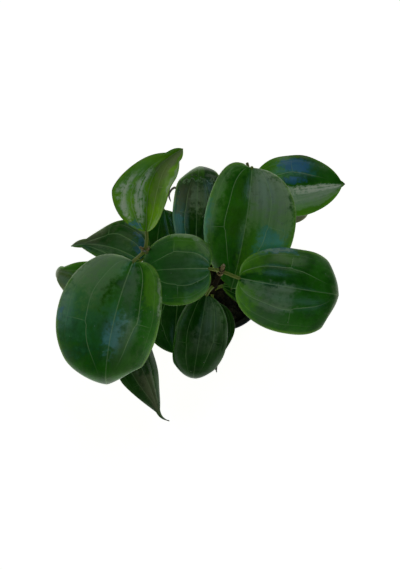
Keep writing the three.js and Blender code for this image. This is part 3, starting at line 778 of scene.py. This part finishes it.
def halfWidth(leaf, u, s):
    # two curves that meet where the blade is widest, or the nib at its end where that is wider
    tipStart = 1 - leaf["nib"] / leaf["length"]
    x = np.clip(u / tipStart, 0, 1)
    widest = ofSide(leaf, "widest", s)
    towardBase = np.clip((widest - x) / widest, 0, 1)
    towardTip = np.clip((x - widest) / (1 - widest), 0, 1)
    full = np.where(x < widest, (1 - towardBase ** leaf["baseFull"]) ** (1 / leaf["baseFull"]),
                    (1 - towardTip ** ofSide(leaf, "tipFull", s)) ** ofSide(leaf, "tipSharp", s))
    nibStart = tipStart - 1.6 * leaf["nib"] / leaf["length"]
    k = np.clip((u - nibStart) / (1 - nibStart), 0, 1)
    nibWidth = ofSide(leaf, "nibWidth", s)
    nib = np.where(u > nibStart, 0.5 * nibWidth * (1 - k ** leaf["nibBlunt"]), 0)
    return np.maximum(0.5 * leaf["width"] * full, nib), full


def midrib(leaf, steps=80):
    # the line that the blade hangs on, and at each of its points the ways along, right and over
    u = np.linspace(0, 1, steps + 1)
    k = smooth01((u - leaf["hookFrom"]) / (1 - leaf["hookFrom"]))
    heading = np.radians(leaf["heading"] + leaf["swerve"] * u + leaf["hookTurn"] * k)
    pitch = np.radians(leaf["rise"] - leaf["droop"] * u - leaf["hook"] * k)
    roll = np.radians(leaf["roll"] + leaf["hookRoll"] * k)[:, None]
    along = np.stack([np.cos(pitch) * np.cos(heading), np.cos(pitch) * np.sin(heading), np.sin(pitch)], -1)
    side = np.stack([np.sin(heading), -np.cos(heading), 0 * heading], -1)
    up = np.cross(side, along)
    right = side * np.cos(roll) - up * np.sin(roll)
    over = up * np.cos(roll) + side * np.sin(roll)
    point = np.zeros_like(along)
    point[1:] = np.cumsum((along[1:] + along[:-1]) / 2 * (leaf["length"] / steps), 0)
    return u, point + np.array(leaf["base"], float), along, right, over


nerveSettings = {
    "inner": 0.43, "outer": 0.79,  # where these nerves run, as shares of the half width
    "fork": (0.45, 0.5),  # where the inner nerve branches in the left and right half, from 0 to 1
    "bow": 0.05, "bend": 0.3,  # how far the inner nerve bows out and then bends in
    "wobble": 0.012, "wobbles": 19,
}


def nerveLines(leaf, u, s, half):
    # Distances in mm to the nerves, and how strongly each shows: the midrib, a nerve halfway out that bends
    # in where a short branch leaves it for the edge, and a faint one near the edge.
    n = nerveSettings
    q, side = np.abs(s), (s > 0) * 1
    fork = np.array(n["fork"])[side]
    wobble = n["wobble"] * np.sin(u * n["wobbles"] + leaf["phase"] + side * 2.1)
    bow = n["inner"] + n["bow"] * np.sin(math.pi * np.clip(u * 1.2, 0, 1)) - 0.02 + wobble
    after = np.clip((u - fork) / (1 - fork), 0, 1)
    bow = bow - n["bend"] * after ** 1.5 - 0.03 * smooth01((u - fork) / 0.03)
    reach = q - n["inner"] - 0.03
    lean = 0.03 * np.sin(leaf["phase"] * 3 + side)
    lines = {
        "midrib": s * half,
        "inner": (q - bow) * half,
        "outer": (q - n["outer"] - wobble) * half,
        "branch": (u - fork + lean * reach - 0.1 * reach ** 2) * leaf["length"],
    }
    strength = {
        "inner": smooth01(u / 0.05) * (1 - smooth01((u - fork - 0.1) / 0.3)),
        "outer": smooth01((u - 0.03) / 0.08) * (1 - smooth01((u - 0.5) / 0.35)),
        "branch": smooth01(reach / 0.02) * (1 - smooth01((reach - 0.1) / 0.3)),
    }
    return lines, strength


def bladeArrays(leaf, u, s, upper):
    # where each vertex of the blade lies, its distances to the nerves, and how far it lies from the edge
    b = bladeSettings
    steps, *curves = midrib(leaf)
    point, along, right, over = [
        np.stack([np.interp(u, steps, curve[:, k]) for k in range(3)], -1) for curve in curves]
    q, sign = np.abs(s), np.sign(s)
    half, full = halfWidth(leaf, u, s)
    least = 0.6 + (stalkSettings["radius"] - 0.6) * np.clip(1 - u / 0.05, 0, 1)
    width = np.maximum(half, least) * (1 + (leaf["uneven"] + leaf["unevenTip"] * u) * sign)
    # across the blade each half is an arc, folded along the midrib
    dome, fold = math.radians(leaf["dome"]), math.radians(leaf["fold"])
    across = width / dome * (np.sin(dome * q - fold) + math.sin(fold))
    lift = width / dome * (np.cos(dome * q - fold) - math.cos(fold))
    wave = leaf["wave"] * q ** 3 * np.sin(2 * math.pi * leaf["waves"] * u + leaf["phase"] + 1.9 * sign)
    lift = lift + wave * np.sin(math.pi * np.clip(u, 0, 1)) ** 0.7
    back = -2.2 * leaf["lobe"] * (1 + leaf["lobeSide"] * sign) * q * q * full * (1 - u) ** 6
    back = back - leaf["notch"] * np.exp(-(across / leaf["notchWidth"]) ** 2) * u ** 12
    # grooves along the nerves, with puffed skin between them
    lines, strength = nerveLines(leaf, u, s, width)
    groove = b["midribDepth"] * np.exp(-(lines["midrib"] / b["grooveWidth"]) ** 2) * (1 - 0.6 * u)
    for name, depth in b["nerveDepths"].items():
        groove = groove + depth * np.exp(-(lines[name] / b["grooveWidth"]) ** 2) * strength[name]
    puff = np.sin(math.pi * np.clip(q / 0.46, 0, 1)) ** 2 * np.sin(math.pi * np.clip(u * 1.1, 0, 1))
    relief = (b["puff"] * puff - groove) * np.minimum(1, width / 12) * (1 - q ** 8)
    thick = b["thickness"] / 2 * (b["edge"] + (1 - b["edge"]) * (1 - q ** 6))
    thick = np.minimum(thick, 0.15 + width * 0.4)
    place = point + right * (sign * across)[..., None] + along * back[..., None]
    place = place + over * (lift + relief + np.where(upper, thick, -thick))[..., None]
    return place, lines, strength, width * (1 - q)


def makeBlade(name, leaf, materials):
    rows, columns = bladeSettings["rows"], bladeSettings["columns"]
    around = 2 * columns + 2
    bm = bmesh.new()
    row, c = np.array(gridPlaces(bm, rows, around)).T
    # the rows lie closer near the base and the tip, and the columns run over the top and back below it
    u = (1 - np.cos(math.pi * row / rows)) / 4 + 0.5 * row / rows
    upper = (c <= columns) | (c == around)
    s = np.where(c <= columns, -1 + 2 * c / columns, 1 - 2 * (c - columns - 1) / columns)
    s = np.where(c == around, -1.0, s)
    place, lines, strength, inset = bladeArrays(leaf, u, s, upper)
    number = bm.verts.layers.int.new("number")
    for k, (vert, co) in enumerate(zip(bm.verts, (place * mm).tolist())):
        vert.co = co
        vert[number] = k
    for face in bm.faces:
        cs = [c[vert[number]] for vert in face.verts]
        face.material_index = 1 if min(cs) >= columns + 1 and max(cs) <= around - 1 else 0
    bmesh.ops.remove_doubles(bm, verts=bm.verts, dist=1e-7)
    bmesh.ops.holes_fill(bm, edges=[e for e in bm.edges if e.is_boundary], sides=0)
    bmesh.ops.recalc_face_normals(bm, faces=bm.faces)
    kept = np.array([vert[number] for vert in bm.verts])
    blade = meshObject(name + "_blade", bm, materials)
    # what the material follows: place on the leaf, and distances to its nerves in mm
    fields = {
        "bladeMap": (u, s, inset),
        "nerveMap": (lines["midrib"], lines["inner"], lines["outer"]),
        "branchMap": (lines["branch"], strength["inner"], strength["branch"]),
    }
    for label, values in fields.items():
        layer = blade.data.attributes.new(label, "FLOAT_VECTOR", "POINT")
        layer.data.foreach_set("vector", np.stack(values, -1)[kept].astype(np.float32).ravel())
    return blade


def makeStalk(name, leaf, material):
    # a bow from the stem to the blade, which runs on under the midrib
    s = stalkSettings
    start, via, end = (np.array(leaf[key], float) for key in ("from", "via", "base"))
    t = np.linspace(0, 1, s["steps"] + 1)
    bow = np.stack([(1 - t) ** 2, 2 * t * (1 - t), t * t], -1)
    line = list(bow @ np.stack([start, via, end]))
    radii = list(s["radius"] * (1.12 - 0.12 * np.minimum(1, t * 4)))
    u, point, _, _, over = midrib(leaf)
    for share, size in s["taper"]:
        i = round(share * (len(u) - 1))
        radii.append(s["radius"] * size)
        line.append(point[i] - over[i] * (radii[-1] + 0.35))
    bm = bmesh.new()
    tube(bm, np.array(line), radii, s["sides"], lumps=s["lumps"], seed=len(name))
    return meshObject(name + "_stalk", bm, [material])


def overlayMask(add, u, s, overlay, wobble):
    # the overlay's share inside its patch, which fades out at a loose border, save along the leaf's own edge
    kind, uFrom, uTo, sFrom, sTo, soft, share = overlay
    mask = share
    for value, low, high, first in ((u, uFrom, uTo, 0), (s, sFrom, sTo, -1)):
        loose = add("Math", (wobble, 0.1 + soft, value), **timesPlus)[0]
        for limit, half, inside in ((low, soft, low > first), (high, -soft, high < 1)):
            if inside:
                border = add("MapRange", (loose, limit - half, limit + half), **smooth)[0]
                mask = add("Math", (mask, border), **times)[0]
    return mask


leafSkin = {
    # each pattern's width in mm, detail, roughness and distortion
    "patterns": {"blotch": (24, 3, 0.5, 0.4), "patchy": (5, 4, 0.6, 0), "fine": (1.1, 3, 0.6, 0)},
    "streaks": (1.5, 12),  # streaks along a leaf, and across half of it
    "nerveWidths": {"midrib": 0.75, "inner": 0.62, "branch": 0.5, "outer": 0.5},
    "rimWidth": 4.5, "dustShare": 0.036, "roughness": 0.17, "roughnessBelow": 0.55,
    "grainCell": 6, "grainShare": 0.28,  # one cell of this width in about four holds a grain of dust
    "below": "#6d8c52", "grain": "#c9cdbb", "dry": "#3d3a1c",
}


def leafMaterial(name, leaf, underside=False):
    # Thick waxy leaf: two greens in soft blotches, fine pale nerves, a lighter rim, overlays of dust, rubbed
    # marks, brown tint, painted highlights, painted sheen and painted sky reflections, and grains of dust.
    # Rubbed marks and dust follow streaks along the leaf.
    k = leafSkin
    material, add = newMaterial(name)
    place = add("TexCoord")["Object"]
    maps = []
    for label in ("bladeMap", "nerveMap", "branchMap"):
        maps.append(add("SeparateXYZ", [add("Attribute", attribute_name=label)["Vector"]]))
    (u, s, inset), (midrib, inner, outer), (branch, innerShown, branchShown) = maps
    # the distance to each nerve, and how strongly it shows along the leaf
    nerves = {
        "midrib": (midrib, add("MapRange", (u, 0, 1, 0.75, 0.3), **smooth)[0]),
        "inner": (inner, add("Math", (innerShown, 0.6), **times)[0]),
        "branch": (branch, add("Math", (branchShown, 0.45), **times)[0]),
        "outer": (outer, add("MapRange", (u, 0.85, 0.4, 0, 0.2), **smooth)[0]),
    }
    veins = 0.0
    for label, (away, shown) in nerves.items():
        width = k["nerveWidths"][label]
        away = add("Math", [away], operation="ABSOLUTE")[0]
        line = add("MapRange", (away, width, width * 0.2), **smooth)[0]
        veins = add("Math", (veins, add("Math", (line, shown), **times)[0]), **most)[0]
    veins = add("Math", (veins, leaf["veinShare"]), **times)[0]
    noises = []
    for size, detail, rough, distortion in k["patterns"].values():
        noises.append(add("TexNoise", {"Vector": place, "Scale": 1 / (size * mm), "Detail": detail,
                                       "Roughness": rough, "Distortion": distortion})[0])
    blotch, patchy, fine = noises
    along = add("CombineXYZ", [add("Math", pair, **times)[0] for pair in zip((u, s), k["streaks"])])[0]
    streak = add("TexNoise", {"Vector": along, "Scale": 1, "Detail": 4})[0]
    share = add("MapRange", (blotch, 0.3, 0.7), **smooth)[0]
    colour = add("MixRGB", (share, srgb(leaf["dark"]), srgb(leaf["light"])))[0]
    for pattern, start, end in ((streak, 0.35, 0.7), (fine, 0.4, 0.8)):
        share = add("MapRange", (pattern, start, end, 0, 0.3), **smooth)[0]
        colour = add("MixRGB", (share, colour, srgb(leaf["light"])))[0]
    mixed = add("Math", (streak, blotch), **plus)[0]
    rimShown = add("MapRange", (mixed, 0.7, 1.3, 0.12, 0.6), **smooth)[0]
    rim = add("MapRange", (inset, k["rimWidth"], 0.8), **smooth)[0]
    colour = add("MixRGB", (add("Math", (rim, rimShown), **times)[0], colour, srgb(leaf["rim"])))[0]
    if underside:
        colour = add("MixRGB", (0.5, colour, srgb(k["below"])))[0]
    wobble = add("Math", (add("Math", (patchy, blotch), **plus)[0], 2, -2), **timesPlus)[0]
    worn = add("Math", (streak, patchy), **plus)[0]
    wornBy = {
        "dust": add("MapRange", (worn, 0.75, 1.2, 0.6, 1), **smooth)[0],
        "scuff_and_glint": add("MapRange", (worn, 0.76, 1.06), **smooth)[0],
    }
    rougher = 0.0
    for overlay in leaf["overlays"] if not underside else []:
        overlayColour, extra = overlayKinds[overlay[0]]
        mask = overlayMask(add, u, s, overlay, wobble)
        if overlay[0] in wornBy:
            mask = add("Math", (mask, wornBy[overlay[0]]), **times)[0]
        # mix in the overlay's colour: dust, rubbed marks and brown tint, and painted highlights, sheen and
        # sky reflections
        colour = add("MixRGB", (mask, colour, srgb(overlayColour)))[0]
        rougher = add("Math", (mask, extra, rougher), **timesPlus)[0]
    dust = add("MapRange", (patchy, 0.4, 0.75, 0, k["dustShare"]), **smooth)[0]
    colour = add("MixRGB", (dust, colour, srgb(overlayKinds["dust"][0])))[0]
    colour = add("MixRGB", (veins, colour, srgb(leaf["vein"])))[0]
    cells = add("TexVoronoi", {"Vector": place, "Scale": 1 / (k["grainCell"] * mm)})
    lot = add("SeparateColor", [cells["Color"]])[0]
    chosen = add("Math", (lot, 1 - k["grainShare"]), operation="GREATER_THAN")[0]
    grain = add("MapRange", (cells["Distance"], 0.09, 0.04, 0, 0.45), **smooth)[0]
    colour = add("MixRGB", (add("Math", (grain, chosen), **times)[0], colour, srgb(k["grain"])))[0]
    # the point of the leaf is dry and brown, and a thin dry line runs round its edge
    tipStart = 1 - leaf["dryTip"] / leaf["length"]
    dryPoint = add("MapRange", (u, tipStart - 0.01, tipStart + 0.02, 0, 0.85), **smooth)[0]
    dryEdge = add("MapRange", (inset, 0.5, 0.1, 0, 0.45), **smooth)[0]
    dry = add("Math", (dryPoint, dryEdge), **most)[0]
    colour = add("MixRGB", (dry, colour, srgb(k["dry"])))[0]
    rough = add("Math", (rougher, k["roughnessBelow" if underside else "roughness"]), **plus)[0]
    rough = add("Math", (patchy, 0.1, rough), **timesPlus)[0]
    height = add("Math", (fine, 0.05, add("Math", (patchy, 0.12), **times)[0]), **timesPlus)[0]
    height = add("Math", (veins, -0.1, height), **timesPlus)[0]
    finishMaterial(add, colour, rough, height, Specular_IOR_Level=leaf["shine"])
    return material


def makeLeaves():
    stalkSkin = stemMaterial("leaf_stalk", "#7d8c26", "#5f4b26", 0.04)
    for number, (name, settings) in enumerate(leaves.items()):
        # phase sets each leaf's ripples and nerves off from the next one's
        leaf = {**leafDefaults, "phase": number * 1.7, **settings}
        top = leafMaterial(name + "_face", leaf)
        below = leafMaterial(name + "_underside", leaf, underside=True)
        for piece in (makeBlade(name, leaf, [top, below]), makeStalk(name, leaf, stalkSkin)):
            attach(piece, "root")
            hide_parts(name)


# floor

def floorMaterial():
    # White laminate studio table: plain and matt, with a glow of its own that keeps it white in soft light.
    material, add = newMaterial("studio_floor")
    place = add("TexCoord")["Object"]
    cloud = add("TexNoise", {"Vector": place, "Scale": 1 / (400 * mm), "Detail": 2, "Roughness": 0.55})[0]
    colour = add("MixRGB", (cloud, srgb("#f6f6f6"), srgb("#fafafa")))[0]
    finishMaterial(add, colour, 0.9, Emission_Color=srgb("#fffdf9"), Emission_Strength=0.9)
    return material


def makeFloor():
    bm = bmesh.new()
    bmesh.ops.create_grid(bm, x_segments=2, y_segments=2, size=6000 * mm)
    floor = meshObject("studio_floor", bm, [floorMaterial()])


print("camera, lights and floor")
makeCamera()
makeLights()
makeFloor()
print("pot and soil")
pot = makePot()
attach(pot, "root")
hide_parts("pot")
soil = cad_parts["soil"]
soil.data.materials.clear()
soil.data.materials.append(soilMaterial())
chips = makeChips()
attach(chips, "root")
print("stems")
makeStems()
print("leaves")
makeLeaves()
